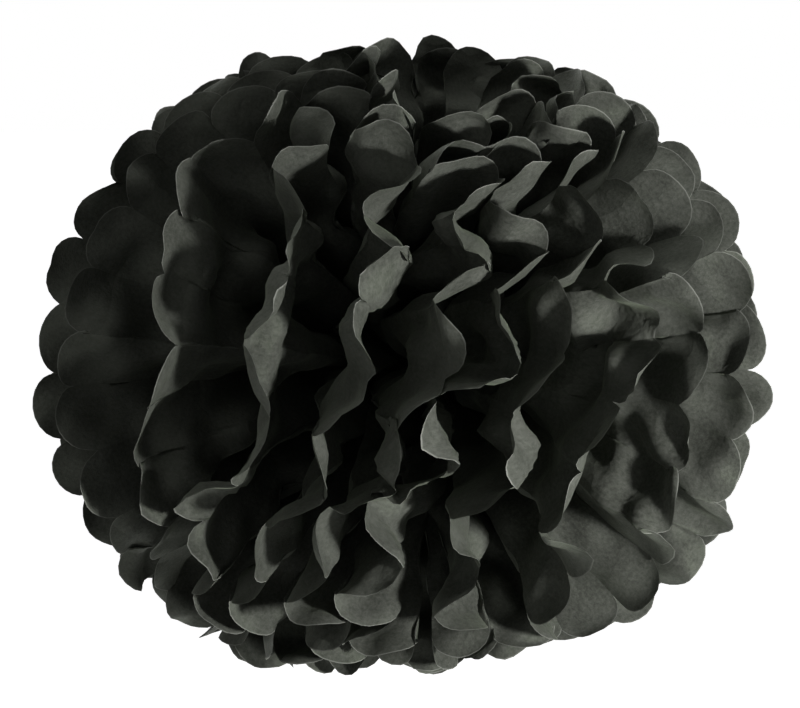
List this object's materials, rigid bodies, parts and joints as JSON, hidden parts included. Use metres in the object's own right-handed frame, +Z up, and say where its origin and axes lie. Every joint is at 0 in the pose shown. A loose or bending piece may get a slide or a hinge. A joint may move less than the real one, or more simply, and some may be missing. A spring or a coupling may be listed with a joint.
{
  "type": "tissue paper pom-pom",
  "caption": "Black tissue paper pom-pom: pleated sheets with scalloped rims, wired at the middle and opened as hinged fans into a ball, with a wire eye to hang it by.",
  "frame": {"origin": "centre of the ball, in the middle of the tie", "axes": "+X along the pleated strip to the right, -Y towards the viewer in front, +Z up along the seam, towards the hanging eye"},
  "size_m": [0.3446, 0.3165, 0.3101],
  "materials": {
    "tissue": "matt black tissue, soft and creased",
    "wire": "thin dark florist's wire"
  },
  "bodies": {
    "tie": {"gathered_waist": "tissue", "tie_wire": "wire", "hanging_eye": "wire"},
    "front_fan_1_right": {"front_fan_1_right": "tissue"},
    "front_fan_1_left": {"front_fan_1_left": "tissue"},
    "front_fan_2_right": {"front_fan_2_right": "tissue"},
    "front_fan_2_left": {"front_fan_2_left": "tissue"},
    "front_fan_3_right": {"front_fan_3_right": "tissue"},
    "front_fan_3_left": {"front_fan_3_left": "tissue"},
    "front_fan_4_right": {"front_fan_4_right": "tissue"},
    "front_fan_4_left": {"front_fan_4_left": "tissue"},
    "front_fan_5_right": {"front_fan_5_right": "tissue"},
    "front_fan_5_left": {"front_fan_5_left": "tissue"},
    "front_fan_6_right": {"front_fan_6_right": "tissue"},
    "front_fan_6_left": {"front_fan_6_left": "tissue"},
    "back_fan_1_right": {"back_fan_1_right": "tissue"},
    "back_fan_1_left": {"back_fan_1_left": "tissue"},
    "back_fan_2_right": {"back_fan_2_right": "tissue"},
    "back_fan_2_left": {"back_fan_2_left": "tissue"},
    "back_fan_3_right": {"back_fan_3_right": "tissue"},
    "back_fan_3_left": {"back_fan_3_left": "tissue"},
    "back_fan_4_right": {"back_fan_4_right": "tissue"},
    "back_fan_4_left": {"back_fan_4_left": "tissue"},
    "back_fan_5_right": {"back_fan_5_right": "tissue"},
    "back_fan_5_left": {"back_fan_5_left": "tissue"},
    "back_fan_6_right": {"back_fan_6_right": "tissue"},
    "back_fan_6_left": {"back_fan_6_left": "tissue"}
  },
  "joints": [
    {"name": "front_fan_1_right_swing", "type": "hinge", "parent": "tie", "child": "front_fan_1_right", "pos_m": [0, 0, 0], "axis": [0, 0, 1], "range_deg": [0, 23.1]},
    {"name": "front_fan_1_left_swing", "type": "hinge", "parent": "tie", "child": "front_fan_1_left", "pos_m": [0, 0, 0], "axis": [0, 0, -1], "range_deg": [0, 23.1]},
    {"name": "front_fan_2_right_swing", "type": "hinge", "parent": "tie", "child": "front_fan_2_right", "pos_m": [0, 0, 0], "axis": [0, 0, 1], "range_deg": [0, 18.91]},
    {"name": "front_fan_2_left_swing", "type": "hinge", "parent": "tie", "child": "front_fan_2_left", "pos_m": [0, 0, 0], "axis": [0, 0, -1], "range_deg": [0, 18.91]},
    {"name": "front_fan_3_right_swing", "type": "hinge", "parent": "tie", "child": "front_fan_3_right", "pos_m": [0, 0, 0], "axis": [0, 0, 1], "range_deg": [0, 14.71]},
    {"name": "front_fan_3_left_swing", "type": "hinge", "parent": "tie", "child": "front_fan_3_left", "pos_m": [0, 0, 0], "axis": [0, 0, -1], "range_deg": [0, 14.71]},
    {"name": "front_fan_4_right_swing", "type": "hinge", "parent": "tie", "child": "front_fan_4_right", "pos_m": [0, 0, 0], "axis": [0, 0, 1], "range_deg": [0, 10.51]},
    {"name": "front_fan_4_left_swing", "type": "hinge", "parent": "tie", "child": "front_fan_4_left", "pos_m": [0, 0, 0], "axis": [0, 0, -1], "range_deg": [0, 10.51]},
    {"name": "front_fan_5_right_swing", "type": "hinge", "parent": "tie", "child": "front_fan_5_right", "pos_m": [0, 0, 0], "axis": [0, 0, 1], "range_deg": [0, 6.31]},
    {"name": "front_fan_5_left_swing", "type": "hinge", "parent": "tie", "child": "front_fan_5_left", "pos_m": [0, 0, 0], "axis": [0, 0, -1], "range_deg": [0, 6.31]},
    {"name": "front_fan_6_right_swing", "type": "hinge", "parent": "tie", "child": "front_fan_6_right", "pos_m": [0, 0, 0], "axis": [0, 0, 1], "range_deg": [0, 2.11]},
    {"name": "front_fan_6_left_swing", "type": "hinge", "parent": "tie", "child": "front_fan_6_left", "pos_m": [0, 0, 0], "axis": [0, 0, -1], "range_deg": [0, 2.11]},
    {"name": "back_fan_1_right_swing", "type": "hinge", "parent": "tie", "child": "back_fan_1_right", "pos_m": [0, 0, 0], "axis": [0, 0, -1], "range_deg": [0, 23.1]},
    {"name": "back_fan_1_left_swing", "type": "hinge", "parent": "tie", "child": "back_fan_1_left", "pos_m": [0, 0, 0], "axis": [0, 0, 1], "range_deg": [0, 23.1]},
    {"name": "back_fan_2_right_swing", "type": "hinge", "parent": "tie", "child": "back_fan_2_right", "pos_m": [0, 0, 0], "axis": [0, 0, -1], "range_deg": [0, 18.91]},
    {"name": "back_fan_2_left_swing", "type": "hinge", "parent": "tie", "child": "back_fan_2_left", "pos_m": [0, 0, 0], "axis": [0, 0, 1], "range_deg": [0, 18.91]},
    {"name": "back_fan_3_right_swing", "type": "hinge", "parent": "tie", "child": "back_fan_3_right", "pos_m": [0, 0, 0], "axis": [0, 0, -1], "range_deg": [0, 14.71]},
    {"name": "back_fan_3_left_swing", "type": "hinge", "parent": "tie", "child": "back_fan_3_left", "pos_m": [0, 0, 0], "axis": [0, 0, 1], "range_deg": [0, 14.71]},
    {"name": "back_fan_4_right_swing", "type": "hinge", "parent": "tie", "child": "back_fan_4_right", "pos_m": [0, 0, 0], "axis": [0, 0, -1], "range_deg": [0, 10.51]},
    {"name": "back_fan_4_left_swing", "type": "hinge", "parent": "tie", "child": "back_fan_4_left", "pos_m": [0, 0, 0], "axis": [0, 0, 1], "range_deg": [0, 10.51]},
    {"name": "back_fan_5_right_swing", "type": "hinge", "parent": "tie", "child": "back_fan_5_right", "pos_m": [0, 0, 0], "axis": [0, 0, -1], "range_deg": [0, 6.31]},
    {"name": "back_fan_5_left_swing", "type": "hinge", "parent": "tie", "child": "back_fan_5_left", "pos_m": [0, 0, 0], "axis": [0, 0, 1], "range_deg": [0, 6.31]},
    {"name": "back_fan_6_right_swing", "type": "hinge", "parent": "tie", "child": "back_fan_6_right", "pos_m": [0, 0, 0], "axis": [0, 0, -1], "range_deg": [0, 2.11]},
    {"name": "back_fan_6_left_swing", "type": "hinge", "parent": "tie", "child": "back_fan_6_left", "pos_m": [0, 0, 0], "axis": [0, 0, 1], "range_deg": [0, 2.11]}
  ],
  "couplings": [
    {"joint": "front_fan_2_right_swing", "follows": "front_fan_1_right_swing", "ratio": 0.81818},
    {"joint": "front_fan_2_left_swing", "follows": "front_fan_1_left_swing", "ratio": 0.81818},
    {"joint": "front_fan_3_right_swing", "follows": "front_fan_1_right_swing", "ratio": 0.63636},
    {"joint": "front_fan_3_left_swing", "follows": "front_fan_1_left_swing", "ratio": 0.63636},
    {"joint": "front_fan_4_right_swing", "follows": "front_fan_1_right_swing", "ratio": 0.45454},
    {"joint": "front_fan_4_left_swing", "follows": "front_fan_1_left_swing", "ratio": 0.45454},
    {"joint": "front_fan_5_right_swing", "follows": "front_fan_1_right_swing", "ratio": 0.27273},
    {"joint": "front_fan_5_left_swing", "follows": "front_fan_1_left_swing", "ratio": 0.27273},
    {"joint": "front_fan_6_right_swing", "follows": "front_fan_1_right_swing", "ratio": 0.090909},
    {"joint": "front_fan_6_left_swing", "follows": "front_fan_1_left_swing", "ratio": 0.090909},
    {"joint": "back_fan_2_right_swing", "follows": "back_fan_1_right_swing", "ratio": 0.81818},
    {"joint": "back_fan_2_left_swing", "follows": "back_fan_1_left_swing", "ratio": 0.81818},
    {"joint": "back_fan_3_right_swing", "follows": "back_fan_1_right_swing", "ratio": 0.63636},
    {"joint": "back_fan_3_left_swing", "follows": "back_fan_1_left_swing", "ratio": 0.63636},
    {"joint": "back_fan_4_right_swing", "follows": "back_fan_1_right_swing", "ratio": 0.45454},
    {"joint": "back_fan_4_left_swing", "follows": "back_fan_1_left_swing", "ratio": 0.45454},
    {"joint": "back_fan_5_right_swing", "follows": "back_fan_1_right_swing", "ratio": 0.27273},
    {"joint": "back_fan_5_left_swing", "follows": "back_fan_1_left_swing", "ratio": 0.27273},
    {"joint": "back_fan_6_right_swing", "follows": "back_fan_1_right_swing", "ratio": 0.090909},
    {"joint": "back_fan_6_left_swing", "follows": "back_fan_1_left_swing", "ratio": 0.090909}
  ]
}
